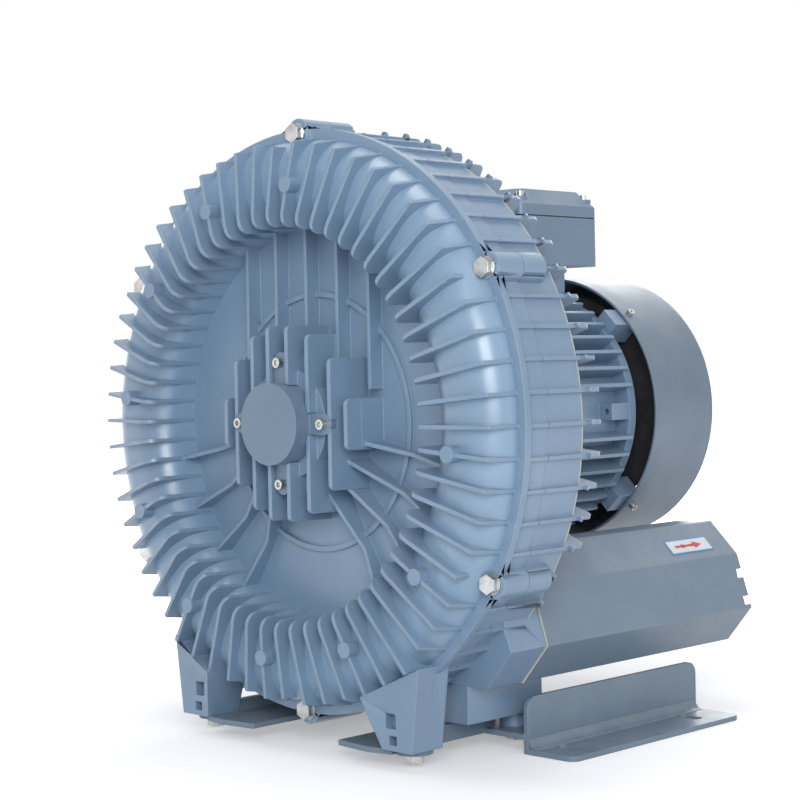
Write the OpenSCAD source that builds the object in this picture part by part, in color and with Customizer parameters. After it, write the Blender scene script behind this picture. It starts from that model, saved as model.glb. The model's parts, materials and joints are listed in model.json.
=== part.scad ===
// Side-channel blower: finned front cover and casing, vaned impeller between them,
// finned motor with fan cowl behind, two silencers underneath, two pressed steel feet.
// +X is the discharge side, +Y runs from the front cover to the fan cowl, +Z is up.
// The origin is on the floor, in the middle of the four foot slots.

/* [Layout] */
// Height of the shaft above the floor
shaft_h = 250; // [248:1:270]
// Distance from the casing joint back to the middle of the foot slots
joint_back = 161; // [155:1:167]
// Thickness of the gasket between cover and casing
gasket_t = 1; // [0.5:0.1:2]

/* [Casing] */
// Radius of the bolt circle of the casing joint
bolt_circle_r = 220; // [218:0.5:222]
// Width of the front rim outside the bolt circle
rim_w = 7; // [5:0.5:9]
// Thickness of the front rim
rim_t = 6; // [4:0.5:9]
// Distance from the joint to the front of the rim
rim_f = 26; // [24:0.5:28]
// Distance from the bolt circle in to the side channel
channel_margin = 6; // [5:0.5:7]
// Radial width of the side channel
channel_w = 45; // [42:1:46]
// Depth of the side channel in each half
channel_depth = 30; // [28:1:32]
// Wall thickness of the casting
wall_t = 6; // [5:0.5:7]
// Thickness of the disc wall in front of and behind the impeller
disc_wall_t = 6; // [4:0.5:7]
// Distance from the joint to the disc walls
disc_gap = 3; // [2.5:0.5:4]
// Axial length of the rear drum
drum_len = 40; // [38:1:44]
// Wall thickness of the drum round the channel
drum_wall_t = 5; // [4:0.5:6]
// Radius of the lugs round the joint bolts
lug_r = 11.5; // [10:0.5:12.5]
// Length of the lugs behind the joint
lug_back = 24; // [20:1:28]

/* [Fins] */
// Number of cooling fins round the cover
fin_count = 60; // [30:6:60]
// Thickness of the cooling fins
fin_t = 3; // [2:0.5:4]
// Distance from the edge of the rim in to the fins
fin_setback = 2.5; // [1:0.5:4]
// Radius of the inner edge of the fins
fin_in_r = 150; // [147:1:156]
// Height of the outer fin corner above the joint
fin_out_f = 41.5; // [40:0.5:44]
// Height of the inner fin corner above the joint
fin_in_f = 50; // [47:1:52]
// Rounding of the inner fin corner
fin_round = 9; // [6:1:11]
// Length of the rib tails behind the joint
rib_tail = 48; // [45:1:54]

/* [Hub] */
// Distance from the joint to the front of the hub plates
hub_plate_f = 53; // [50:1:55]
// Thickness of the hub plates
hub_plate_t = 3.5; // [2.5:0.5:4.5]
// Half the height of the two tallest hub plates
hub_plate_r = 74; // [70:1:78]
// Outer radius of the front bearing housing
housing_r = 42; // [39:1:46]
// Radius of the bearing cap
cap_r = 31; // [27:1:34]
// Distance from the joint to the face of the bearing cap
cap_f = 63; // [60:1:67]
// Radius of the circle of the cap screws
cap_screw_circle = 46; // [45:0.5:47]

/* [Shaft and bearings] */
// Bore of the two motor bearings
bearing_bore = 30; // [28:1:31]
// Outer diameter of the two motor bearings
bearing_od = 62; // [60:1:64]
// Width of the two motor bearings
bearing_w = 16; // [15:1:17]
// Bore of the front bearing
front_bore = 25; // [24:1:25]
// Outer diameter of the front bearing
front_od = 52; // [50:1:54]
// Width of the front bearing
front_w = 15; // [14:1:16]
// Ball diameter as a share of the pitch diameter
ball_share = 0.207; // [0.19:0.005:0.215]
// Balls in each bearing
ball_count = 9; // [7:1:10]
// Shaft diameter at the impeller
shaft_d = 28; // [26:0.5:29]
// Shaft diameter at the rotor core
rotor_shaft_d = 42; // [40:1:46]
// Distance from the joint to the inner face of the front bearing
front_bearing_f = 24; // [23:1:26]

/* [Impeller] */
// Number of impeller blades
blade_count = 52; // [36:2:56]
// Blade thickness
blade_t = 2.6; // [2:0.1:3.2]
// Clearance between the impeller rim and the channel
rim_gap = 3; // [2:0.5:4]
// Axial width of the impeller rim
impeller_w = 40; // [34:1:44]
// Thickness of the impeller web
web_t = 4; // [3:0.5:4.5]

/* [Motor] */
// Outer radius of the motor barrel
barrel_r = 84; // [82:1:87]
// Wall of the motor barrel
barrel_t = 6; // [5:0.5:7]
// Radius over the motor fins
motor_fin_r = 104; // [98:1:106]
// Number of motor fins
motor_fin_count = 44; // [32:4:48]
// Thickness of the motor fins
motor_fin_t = 3; // [2:0.5:3.5]
// Thickness of the front end shield
front_shield_t = 12; // [10:1:14]
// Length of the motor barrel
barrel_len = 194; // [186:1:198]
// Thickness of the rear end shield
rear_shield_t = 9; // [7:1:10]
// Radius of the spigot between casing and motor
spigot_r = 54; // [50:1:58]
// Stack length of stator and rotor
stack_len = 90; // [70:1:96]
// Outer radius of the rotor core
rotor_r = 50; // [46:0.5:52]
// Air gap between rotor and stator
air_gap = 0.5; // [0.4:0.1:0.8]

/* [Fan cowl] */
// Outer radius of the fan cowl
cowl_r = 114; // [112:0.5:117]
// Distance from the motor barrel to the front rim of the cowl
cowl_gap = 16; // [14:1:20]
// Length of the cowl
cowl_len = 84; // [80:1:96]
// Sheet thickness of the cowl
cowl_t = 2; // [1.5:0.5:3]
// Radius of the cooling fan
fan_r = 100; // [94:1:104]
// Number of fan blades
fan_blades = 9; // [5:1:12]

/* [Terminal box] */
// Width of the terminal box across the motor
box_w = 118; // [100:1:124]
// Length of the terminal box along the motor
box_l = 100; // [92:1:104]
// Height of the box bottom above the shaft
box_z = 122; // [119:1:126]
// Height of the box body
box_h = 40; // [34:1:50]
// Height of the lid
lid_h = 22; // [18:1:28]
// Distance from the joint to the front face of the box
box_front = 164; // [158:1:168]
// Wall of the box
box_t = 4; // [3:0.5:5]

/* [Silencers] */
// Distance of the silencer axis from the middle
silencer_x = 120; // [118:1:122]
// Distance of the silencer axis below the shaft
silencer_drop = 145; // [143:1:147]
// Distance from the joint to the silencer gasket
port_face = 53; // [50:1:58]
// Length of the silencer body
silencer_len = 264; // [240:1:290]
// Sheet thickness of the silencer
silencer_t = 2; // [1.5:0.5:3]
// Radius of the air passage through ports and silencers
port_r = 24; // [20:1:26]
// Radius of the hose connection bore
hose_bore_r = 25; // [22:0.5:26]

/* [Feet] */
// Distance of the foot slots from the middle
slot_x = 165; // [164:0.5:168]
// Spacing of the foot slots along the blower
slot_pitch = 153; // [140:1:160]
// Length of a foot slot
slot_len = 22; // [18:1:26]
// Width of a foot slot
slot_w = 11; // [9:0.5:13]
// Sheet thickness of the feet
foot_t = 4; // [3:0.5:5]
// Height of the foot web
foot_h = 43; // [38:1:46]
// Distance of the foot web from the middle
foot_web_x = 142; // [138:1:146]
// Width of the floor flange
foot_flange_w = 48; // [46:1:52]
// Length of the foot bracket
foot_len = 213; // [205:1:225]
// Height of the tie plate above the floor
tie_z = 11; // [9:1:12]

/* [Hidden] */
$fn = 96;
eps = 0.01;

// Distances in the front view are measured forward from the casing joint.
half_gasket = gasket_t / 2;
pitch = 360 / fin_count;
flange_r = bolt_circle_r + rim_w;
fin_out_r = flange_r - fin_setback;
rib_out_r = flange_r - 1;
lug_front = rim_f + 0.5;
chan_out = bolt_circle_r - channel_margin;
chan_in = chan_out - channel_w;
channel_r = (chan_in + chan_out) / 2;
impeller_r = chan_out - rim_gap;
shell_in = chan_in - wall_t;
shell_out = chan_out + wall_t;
shell_f = channel_depth + wall_t;
chan_round = channel_w / 2 - 2.5;
drum_r = chan_out + drum_wall_t;
disc_out_f = disc_gap + disc_wall_t;
fit = 0.03;
seat_r = shaft_d / 2;
thread_r = seat_r - 1;
rotor_shaft_r = rotor_shaft_d / 2;
shield_face = 46;
barrel_front = shield_face + front_shield_t;
barrel_back = barrel_front + barrel_len;
barrel_in = barrel_r - barrel_t;
boss_r = bearing_od / 2 + 9;
bearing_seat = 3;
rear_bearing_b = barrel_back - 1;
// Front face (towards +f), bore, outer diameter and width of each bearing.
bearings = [
  [front_bearing_f + front_w, front_bore, front_od, front_w],
  [-barrel_front - bearing_seat, bearing_bore, bearing_od, bearing_w],
  [-rear_bearing_b + bearing_w, bearing_bore, bearing_od, bearing_w]];
hub_len = 38;
// Distance from the middle, half height and setback of the hub plates on each side.
hub_plate_list = [[10.5, hub_plate_r, 0], [30.5, hub_plate_r - 7, 2], [52, hub_plate_r - 25, 4],
  [67, 19, 6]];
plate_round = 4.5;
cap_seat_f = front_bearing_f + front_w + 4;
spring_t = 1.6;
motor_bolt_r = 93;
shield_bolt_r = barrel_r + 7;
shield_bolt_d = 5;
fin_gap_angle = 9;
fin_angles = [for (i = [0 : motor_fin_count - 1]) (i + 0.5) * 360 / motor_fin_count];
cowl_front = barrel_back + cowl_gap;
cowl_back = cowl_front + cowl_len;
cowl_lug_r = cowl_r - cowl_t;
fan_front = barrel_back + rear_shield_t + 26;
fan_w = 26;
fan_seat_r = 12;
stack_front = (barrel_front + barrel_back - stack_len) / 2;
bolt_angles = [90, 30, -30, -90, -150, 150];
bolt_d = 8;
bolt_hole = 8.6;
head_flats = 13;
head_h = 5.3;
washer_r = 8;
washer_t = 1.6;
leg_in_x = 98;
leg_out_x = 128;
leg_bolt_x = 111;
leg_front_f = 46;
leg_back_f = 14;
front_bolt_f = 26;
rear_bolt_f = -86;
pad_back_f = -98;
leg_bottom = tie_z + foot_t - shaft_h;
tie_in_x = 48;
tie_out_x = 103;
foot_front = 60;
arm_bottom = leg_bottom + 12;
arm_top = leg_bottom + 37;
gland_r = 10;
port_back = port_face + gasket_t;
end_plate_t = 5;
rim_over = 10;
liner_gap = 1;
silencer_back = -port_back - silencer_len + half_gasket;
hose_f = silencer_back + rim_over;
hose_neck_r = hose_bore_r + 3.5;
hose_flange_r = 40;
hose_flange_t = 8;
hose_neck_len = 14;
hose_screw_r = 34;
hose_screw_d = 5;

// Places the children in the front view: X right, Y up, Z forward of the casing joint.
module front_view(f = 0)
  translate([0, -joint_back, shaft_h]) rotate([90, 0, 0]) translate([0, 0, f]) children();

module tube(outer, inner, from, to) {
  translate([0, 0, from]) difference() {
    cylinder(h = to - from, r = outer);
    translate([0, 0, -1]) cylinder(h = to - from + 2, r = inner);
  }
}

module rod(r, from, to)
  translate([0, 0, from]) cylinder(h = to - from, r = r);

module on_bolt_circle()
  for (a = bolt_angles) rotate([0, 0, a]) translate([bolt_circle_r, 0, 0]) children();

// Section of the half channel: straight sides and two rounded corners.
module channel_section(inner, outer, depth, corner) {
  translate([inner, -eps]) square([outer - inner, depth - corner + eps]);
  translate([inner + corner, -eps]) square([outer - inner - 2 * corner, depth + eps]);
  intersection() {
    translate([inner, -eps]) square([outer - inner, depth + 1]);
    union() {
      translate([inner + corner, depth - corner]) circle(corner);
      translate([outer - corner, depth - corner]) circle(corner);
    }
  }
}

// Hexagon-head bolt, head towards +Z, seat at the origin.
module hex_bolt(length, d = bolt_d, flats = head_flats, h = head_h) {
  cylinder(h = h, r = flats / sqrt(3), $fn = 6);
  translate([0, 0, -length]) cylinder(h = length + eps, r = d / 2, $fn = 32);
}

// Socket-head screw, head towards +Z, seat at the origin.
module socket_screw(length, d) {
  difference() {
    cylinder(h = d, r = d * 0.78, $fn = 32);
    translate([0, 0, d * 0.45]) cylinder(h = d, r = d * 0.46, $fn = 6);
  }
  translate([0, 0, -length]) cylinder(h = length + eps, r = d / 2, $fn = 32);
}

module flat_washer(outer, inner, t)
  difference() {
    cylinder(h = t, r = outer, $fn = 32);
    translate([0, 0, -1]) cylinder(h = t + 2, r = inner, $fn = 32);
  }

// Profile of a cover fin in the plane of radius and distance from the joint.
module cover_fin_profile() {
  root_f = disc_gap + disc_wall_t / 2;
  polygon([[fin_in_r, root_f], [fin_out_r, root_f], [fin_out_r, fin_out_f],
    [fin_in_r + fin_round, fin_in_f], [fin_in_r, fin_in_f - fin_round]]);
  translate([fin_in_r + fin_round, fin_in_f - fin_round]) circle(fin_round, $fn = 48);
}

// A plate of thickness t that stands on a radius at angle a.
module radial_plate(a, t)
  rotate([0, 0, a]) rotate([90, 0, 0]) translate([0, 0, -t / 2]) linear_extrude(t) children();

// Height of the underside of the bolt circle at distance x from the middle.
function ring_bottom(x) = -sqrt(pow(bolt_circle_r, 2) - x * x);

// Front leg of the cover, drawn for the +X side.
module front_leg() {
  difference() {
    translate([0, 0, leg_back_f]) linear_extrude(leg_front_f - leg_back_f)
      polygon([[leg_in_x - 12, ring_bottom(leg_in_x)], [leg_in_x, leg_bottom], [leg_out_x, leg_bottom],
        [leg_out_x + 8, ring_bottom(leg_out_x + 8)]]);
    translate([leg_in_x + 4, leg_bottom + 16, leg_front_f - 8]) cube([10, 11, 20]);
    translate([leg_in_x + 7, leg_bottom + 4, leg_front_f - 8]) cube([8, 7, 20]);
    translate([leg_bolt_x, leg_bottom - 1, front_bolt_f]) rotate([-90, 0, 0])
      cylinder(h = 26, r = bolt_d / 2 + fit);
  }
}

module front_cover() color([0.44, 0.54, 0.63]) front_view() difference() {
  union() {
    rotate_extrude() channel_section(shell_in, shell_out, shell_f, chan_round + wall_t);
    rod(shell_in + 1, disc_gap, disc_out_f);
    tube(drum_r, chan_out, 0, rim_f - 1);
    tube(flange_r, chan_out - 5, rim_f - rim_t, rim_f);
    for (i = [0 : fin_count - 1]) radial_plate(i * pitch, fin_t) {
      cover_fin_profile();
      translate([drum_r - 2, 0]) square([rib_out_r - drum_r + 2, rim_f - 1]);
    }
    on_bolt_circle() rod(lug_r, 0, lug_front);
    rod(housing_r, disc_out_f - 1, front_bearing_f + front_w + 4);
    hub_plates();
    upper_ribs();
    lower_ribs();
    for (a = [75 : 30 : 345]) rotate([0, 0, a + 9]) translate([channel_r - 12, 0, 0])
      rod(6, shell_f - 4, fin_in_f - 1);
    front_leg();
    mirror([1, 0, 0]) front_leg();
  }
  rod(flange_r + 5, -2, half_gasket);
  rod(chan_in + 2, -1, disc_gap);
  rotate_extrude() channel_section(chan_in, chan_out, channel_depth, chan_round);
  on_bolt_circle() rod(bolt_hole / 2, -1, lug_front + 1);
  on_bolt_circle() rod(lug_r, lug_front, fin_in_f + 1);
  rod(front_od / 2 + fit, front_bearing_f, hub_plate_f + 1);
  rod(front_bore / 2 + 12, -1, front_bearing_f + 1);
  for (a = [0 : 90 : 270]) rotate([0, 0, a]) translate([cap_screw_circle, 0, 0])
    rod(2.5 + fit, front_bearing_f, hub_plate_f + 1);
  cap_pocket();
}

// Vertical plates round the bearing housing, lower and shorter towards the sides.
module hub_plates() {
  for (s = [-1, 1], p = hub_plate_list) translate([s * p[0] - hub_plate_t / 2, 0, 0])
    rotate([90, 0, 90]) linear_extrude(hub_plate_t) hub_plate_profile(p[1], hub_plate_f - p[2]);
  for (a = [0 : 90 : 270]) rotate([0, 0, a]) translate([cap_screw_circle, 0, disc_out_f - 1])
    cylinder(h = cap_seat_f - disc_out_f + 1, r = 8);
  translate([-69, -17, disc_out_f - 1]) cube([138, 34, 24]);
  translate([-32, -52, disc_out_f - 1]) cube([64, 104, 28]);
}

// One hub plate seen from the side, with two rounded front corners.
module hub_plate_profile(half, top) {
  translate([-half, disc_out_f - 1]) square([2 * half, top - disc_out_f + 1 - plate_round]);
  translate([plate_round - half, disc_out_f]) square([2 * (half - plate_round), top - disc_out_f]);
  for (s = [-1, 1]) translate([s * (half - plate_round), top - plate_round])
    circle(plate_round - eps, $fn = 48);
}

// Room for the bearing cap between the hub plates.
module cap_pocket() {
  rod(cap_r + 0.5, cap_seat_f, cap_f + 1);
  for (a = [0 : 90 : 270]) rotate([0, 0, a]) {
    translate([0, -8.3, cap_seat_f]) cube([cap_screw_circle, 16.6, 30]);
    translate([cap_screw_circle, 0, 0]) rod(8.3, cap_seat_f, cap_f + 1);
  }
}

// Tall plates between the hub and the upper part of the ring.
module upper_ribs() {
  for (x = [-67.5, -34, 0, 34, 67.5])
    translate([x - fin_t / 2, hub_plate_r - 25 - abs(x) * 0.35, disc_out_f - 1])
      cube([fin_t, sqrt(pow(shell_in + 2, 2) - x * x) - hub_plate_r + 25 + abs(x) * 0.35, 14]);
}

// Radial ribs between the hub and the lower part of the ring.
module lower_ribs() {
  for (a = [-12, -28, -44, -60, -120, -136, -152, -168]) radial_plate(a, fin_t)
    polygon([[60, disc_out_f - 1], [shell_in + 2, disc_out_f - 1], [shell_in + 2, shell_f - 8],
      [110, shell_f - 18], [60, shell_f - 4]]);
  tube(100, 96, disc_out_f - 1, disc_out_f + 3);
}

// Octagonal outline of the silencers and their ports, drawn round its own centre.
module silencer_outline(inset = 0) {
  offset(delta = -inset) polygon([[-12, 50], [12, 50], [38, 24], [52, -20], [28, -49],
    [-28, -49], [-52, -20], [-38, 24]]);
}

module at_silencer(s) translate([s * silencer_x, -silencer_drop, 0]) children();

// Rear leg and its pad, drawn for the +X side.
module rear_leg() {
  arm_w = leg_out_x - leg_in_x + 6;
  translate([leg_in_x - 6, arm_bottom, -port_face + 2])
    cube([arm_w, arm_top - arm_bottom + 8, port_face - 16]);
  translate([leg_in_x - 6, arm_bottom, pad_back_f]) cube([arm_w, arm_top - arm_bottom, -pad_back_f - 16]);
  translate([leg_bolt_x, leg_bottom, rear_bolt_f]) rotate([-90, 0, 0])
    cylinder(h = arm_bottom - leg_bottom + 1, r = 12);
}

module rib_tail_profile(tail) {
  translate([drum_r - 2, -tail + 5]) square([rib_out_r - drum_r + 2, tail - 5]);
  translate([(drum_r + rib_out_r) / 2 - 1, -tail + 5]) circle(4, $fn = 32);
}

module rear_casing() color([0.44, 0.54, 0.63]) front_view() difference() {
  union() {
    tube(drum_r, chan_out, -drum_len, 0);
    mirror([0, 0, 1]) rotate_extrude()
      channel_section(shell_in, drum_r - 1, shell_f, chan_round + wall_t);
    tube(shell_in + 1, spigot_r, -disc_out_f, -disc_gap);
    tube(spigot_r + 8, spigot_r, -shield_face, -disc_gap);
    for (i = [0 : fin_count - 1]) radial_plate(i * pitch, fin_t)
      rib_tail_profile(i * pitch > 205 && i * pitch < 335 ? drum_len : rib_tail);
    for (a = [15 : 30 : 345]) radial_plate(a, 4)
      polygon([[spigot_r + 4, -disc_out_f + 1], [shell_in + 2, -disc_out_f + 1],
        [shell_in + 2, -shell_f + 8], [spigot_r + 4, -shield_face + 6]]);
    on_bolt_circle() rod(lug_r, -lug_back, 0);
    for (s = [-1, 1]) at_silencer(s) translate([0, 0, -port_face + half_gasket])
      linear_extrude(port_face - 14) silencer_outline();
    rear_leg();
    mirror([1, 0, 0]) rear_leg();
    for (a = [45 : 90 : 315]) rotate([0, 0, a]) translate([motor_bolt_r, 0, 0])
      rod(9, -shield_face, -disc_out_f + 1);
  }
  rod(flange_r + 5, -half_gasket, 2);
  rod(chan_in + 2, -disc_gap, 1);
  mirror([0, 0, 1]) rotate_extrude()
    channel_section(chan_in, chan_out, channel_depth, chan_round);
  rod(spigot_r + fit, -drum_len - 40, 1);
  on_bolt_circle() rod(bolt_d / 2 + fit, -lug_back - 1, 1);
  for (s = [-1, 1]) at_silencer(s) rod(port_r, -port_face - 1, -channel_depth / 2);
  for (a = [45 : 90 : 315]) rotate([0, 0, a]) translate([motor_bolt_r, 0, 0])
    rod(3.5 + fit, -shield_face - 1, -shield_face + 20);
  for (s = [-1, 1]) translate([s * leg_bolt_x, leg_bottom - 1, rear_bolt_f])
    rotate([-90, 0, 0]) cylinder(h = 17, r = bolt_d / 2 + fit);
}

module casing_gasket() color([0.75, 0.73, 0.68]) front_view() difference() {
  union() {
    rod(drum_r - 0.5, -half_gasket, half_gasket);
    on_bolt_circle() rod(lug_r - 0.5, -half_gasket, half_gasket);
  }
  rod(chan_out + 0.5, -2, 2);
  on_bolt_circle() rod(bolt_hole / 2, -2, 2);
}

module cover_bolts() color([0.8, 0.8, 0.82]) front_view(lug_front + washer_t)
  on_bolt_circle() hex_bolt(lug_front + lug_back - 4);

module cover_washers() color([0.8, 0.8, 0.82]) front_view(lug_front)
  on_bolt_circle() flat_washer(washer_r, bolt_hole / 2, washer_t);

module bearing_cap() color([0.44, 0.54, 0.63]) front_view() difference() {
  union() {
    rod(cap_r, cap_seat_f, cap_f);
    rod(front_od / 2 - fit, front_bearing_f + front_w + spring_t, cap_seat_f + 1);
    for (a = [0 : 90 : 270]) rotate([0, 0, a]) {
      translate([0, -8, cap_seat_f]) cube([cap_screw_circle, 16, 6]);
      translate([cap_screw_circle, 0, 0]) rod(8, cap_seat_f, cap_seat_f + 6);
    }
  }
  rod(front_od / 2 - 4, front_bearing_f, cap_f - 6);
  for (a = [0 : 90 : 270]) rotate([0, 0, a]) translate([cap_screw_circle, 0, 0])
    rod(2.8, cap_seat_f - 1, cap_seat_f + 8);
}

module cap_screws() color([0.75, 0.75, 0.76]) front_view(cap_seat_f + 6)
  for (a = [0 : 90 : 270]) rotate([0, 0, a]) translate([cap_screw_circle, 0, 0])
    socket_screw(18, 5);

module preload_spring() color([0.6, 0.6, 0.62]) front_view()
  tube(front_od / 2 - 0.5, front_od / 2 - 5, cap_seat_f - 4, cap_seat_f - 4 + spring_t);

module at_bearing(b) front_view(b[0] - b[3]) children();

function race_mid(b) = (b[1] + b[2]) / 4;
function ball_of(b) = race_mid(b) * 2 * ball_share;

// One race of a bearing, between radii inner and outer, with its ball groove.
module race(b, inner, outer)
  rotate_extrude() difference() {
    translate([inner, 0]) square([outer - inner, b[3]]);
    translate([race_mid(b), b[3] / 2]) circle(ball_of(b) / 2 + fit);
  }

module bearing_outer_rings() color([0.7, 0.7, 0.72])
  for (b = bearings) at_bearing(b) race(b, race_mid(b) + ball_of(b) * 0.34, b[2] / 2);

module bearing_inner_rings() color([0.7, 0.7, 0.72])
  for (b = bearings) at_bearing(b) race(b, b[1] / 2, race_mid(b) - ball_of(b) * 0.34);

module bearing_ball_sets() color([0.6, 0.6, 0.64])
  for (b = bearings) at_bearing(b) translate([0, 0, b[3] / 2]) {
    for (i = [0 : ball_count - 1]) rotate([0, 0, i * 360 / ball_count])
      translate([race_mid(b), 0, 0]) sphere(r = ball_of(b) / 2, $fn = 32);
    tube(race_mid(b) + 0.8, race_mid(b) - 0.8, -b[3] * 0.2, b[3] * 0.2);
  }

module shaft() color([0.62, 0.63, 0.65]) front_view() difference() {
  union() {
    rod(front_bore / 2 - fit / 2, 4, front_bearing_f + front_w + 1);
    rod(thread_r, -2, front_bearing_f);
    rod(seat_r, -hub_len, 1);
    rod(bearing_bore / 2 - fit / 2, bearings[1][0] - bearing_w, -hub_len);
    rod(rotor_shaft_r, bearings[2][0], bearings[1][0] - bearing_w);
    rod(bearing_bore / 2 - fit / 2, -rear_bearing_b - 1, bearings[2][0]);
    rod(fan_seat_r, -fan_front - fan_w - 8, -rear_bearing_b);
  }
  translate([-4, seat_r - 4, -hub_len + 5]) cube([8, 8, hub_len - 10]);
}

// Vaned wheel: hub, thin web and a rim with a row of pockets on each side.
module impeller() color([0.7, 0.71, 0.72]) front_view() difference() {
  union() {
    rod(seat_r + 13, -hub_len, web_t / 2);
    rod(chan_in + 8, -web_t / 2, web_t / 2);
    difference() {
      tube(impeller_r, chan_in + 3.5, -impeller_w / 2, impeller_w / 2);
      for (s = [-1, 1]) rotate_extrude()
        translate([channel_r + 1, s * impeller_w / 2]) circle(impeller_w / 2 - 3, $fn = 48);
    }
    for (i = [0 : blade_count - 1]) radial_plate(i * 360 / blade_count, blade_t)
      translate([chan_in + 4, 0.2 - impeller_w / 2])
        square([impeller_r - chan_in - 4.7, impeller_w - 0.4]);
  }
  rod(seat_r + fit, -hub_len - 1, web_t);
  translate([-4 - fit, seat_r - 5, -hub_len - 1]) cube([8 + 2 * fit, 8, hub_len + 10]);
  for (a = [30 : 60 : 330]) rotate([0, 0, a]) translate([chan_in * 0.5, 0, 0])
    rod(9, -web_t, web_t);
}

module impeller_key() color([0.6, 0.6, 0.62]) front_view()
  translate([-4 + fit, seat_r - 4, -hub_len + 5 + fit]) cube([8 - 2 * fit, 6.5, hub_len - 10 - 2 * fit]);

module impeller_nut() color([0.8, 0.8, 0.82]) front_view() difference() {
  rod(21, web_t / 2, 10);
  rod(thread_r + fit, -1, 12);
  for (a = [0 : 90 : 270]) rotate([0, 0, a]) translate([18, -2.5, 0]) cube([6, 5, 12]);
}

module shaft_seal() color([0.12, 0.12, 0.13]) front_view()
  tube(24, bearing_bore / 2 + fit, -shield_face - 7, -hub_len - 1.5);

module motor_front_shield() color([0.44, 0.54, 0.63]) front_view() difference() {
  union() {
    rod(motor_fin_r - 4, -barrel_front, -shield_face);
    rod(spigot_r - fit, -shield_face - 1, -hub_len - 1);
    rod(boss_r, -barrel_front - bearing_seat - bearing_w, -barrel_front + 1);
    tube(barrel_in - fit, barrel_in - 6, -barrel_front - 8, -barrel_front + 1);
  }
  rod(bearing_od / 2 + fit, bearings[1][0] - bearing_w - 5, bearings[1][0]);
  rod(bearing_bore / 2 + 3, -barrel_front - 10, 1);
  rod(24 + fit, -shield_face - 7, 1);
  for (a = [45 : 90 : 315]) rotate([0, 0, a]) translate([motor_bolt_r, 0, 0])
    rod(bolt_hole / 2 - 0.5, -barrel_front - 1, 1);
  at_shield_bolts() rod(shield_bolt_d / 2 + 0.3, -barrel_front - 1, 1);
  at_shield_bolts() rod(shield_bolt_d, -shield_face - shield_bolt_d - 1, 1);
}

module at_shield_bolts()
  for (a = [0 : 90 : 270]) rotate([0, 0, a]) translate([shield_bolt_r, 0, 0]) children();

// Section of the barrel with its fins, left out where the lugs are.
module barrel_profile() difference() {
  union() {
    circle(barrel_r);
    for (a = fin_angles) if (min([for (t = [0 : 90 : 360]) abs(a - t)]) > fin_gap_angle)
      rotate(a) translate([barrel_r - 2, -motor_fin_t / 2])
        square([motor_fin_r - barrel_r + 2, motor_fin_t]);
  }
  circle(barrel_in);
}

module motor_frame() color([0.44, 0.54, 0.63]) front_view() difference() {
  union() {
    translate([0, 0, -barrel_back]) linear_extrude(barrel_len) barrel_profile();
    for (f = [-barrel_front - 22, -barrel_back]) at_shield_bolts()
      translate([-barrel_t - 2, -7, f]) cube([barrel_t + 8, 14, 22]);
    translate([-34, barrel_in + 3, -box_front - box_l + 16])
      cube([68, box_z - barrel_in - 3, box_l - 28]);
  }
  translate([0, barrel_in - 6, -box_front - box_l / 2]) rotate([-90, 0, 0])
    cylinder(h = box_z, r = 13);
  at_shield_bolts() rod(shield_bolt_d / 2 + fit, -barrel_back - 1, 1);
  for (a = [45 : 90 : 315]) rotate([0, 0, a]) translate([motor_bolt_r, 0, 0])
    rod(8, -barrel_front - 14, 1);
}

module motor_rear_shield() color([0.44, 0.54, 0.63]) front_view() difference() {
  union() {
    rod(barrel_r + 14, -barrel_back - rear_shield_t, -barrel_back);
    rod(boss_r, -barrel_back, -rear_bearing_b + bearing_w + 4);
    tube(barrel_in - fit, barrel_in - 6, -barrel_back - 1, -barrel_back + 8);
    for (a = [45 : 90 : 315]) rotate([0, 0, a])
      translate([barrel_r + 6, -9, -cowl_front - 16])
        cube([cowl_lug_r - barrel_r - 7, 18, 16 + cowl_gap - 1]);
  }
  rod(bearing_od / 2 + fit, -rear_bearing_b, -rear_bearing_b + bearing_w + 5);
  rod(bearing_bore / 2 + 2, -barrel_back - rear_shield_t - 1, -barrel_back + 20);
  at_shield_bolts()
    rod(shield_bolt_d / 2 + 0.3, -barrel_back - rear_shield_t - 1, -barrel_back + 1);
  for (a = [45 : 90 : 315]) rotate([0, 0, a]) translate([cowl_lug_r - 12, 0, -cowl_front - 8])
    rotate([0, 90, 0]) cylinder(h = 20, r = 2.4, $fn = 32);
}

module motor_bolts() color([0.75, 0.75, 0.76]) front_view(-barrel_front)
  for (a = [45 : 90 : 315]) rotate([0, 0, a]) translate([motor_bolt_r, 0, 0])
    mirror([0, 0, 1]) socket_screw(front_shield_t + 14, 7);

// Screws of both end shields: recessed in front, hexagon heads behind.
module shield_bolts() color([0.75, 0.75, 0.76]) {
  front_view(-shield_face - shield_bolt_d - 1) at_shield_bolts()
    socket_screw(front_shield_t + 8, shield_bolt_d);
  front_view(-barrel_back - rear_shield_t) at_shield_bolts() mirror([0, 0, 1])
    hex_bolt(rear_shield_t + 16, d = shield_bolt_d, flats = 8, h = 3.5);
}

module stator_core() color([0.35, 0.36, 0.38]) front_view() difference() {
  tube(barrel_in - fit, rotor_r + air_gap, -stack_front - stack_len, -stack_front);
  for (i = [0 : 23]) rotate([0, 0, i * 15]) translate([rotor_r - 1, -1.5, -stack_front - stack_len - 1])
    cube([16, 3, stack_len + 2]);
}

module stator_windings() color([0.6, 0.32, 0.14]) front_view() {
  for (f = [-stack_front + 0.3, -stack_front - stack_len - 22.3])
    tube(barrel_in - 5, rotor_r + 4, f, f + 22);
  for (i = [0 : 23]) rotate([0, 0, i * 15])
    translate([rotor_r + 4, -1.3, -stack_front - stack_len - 1])
      cube([10.5, 2.6, stack_len + 2]);
}

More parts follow.
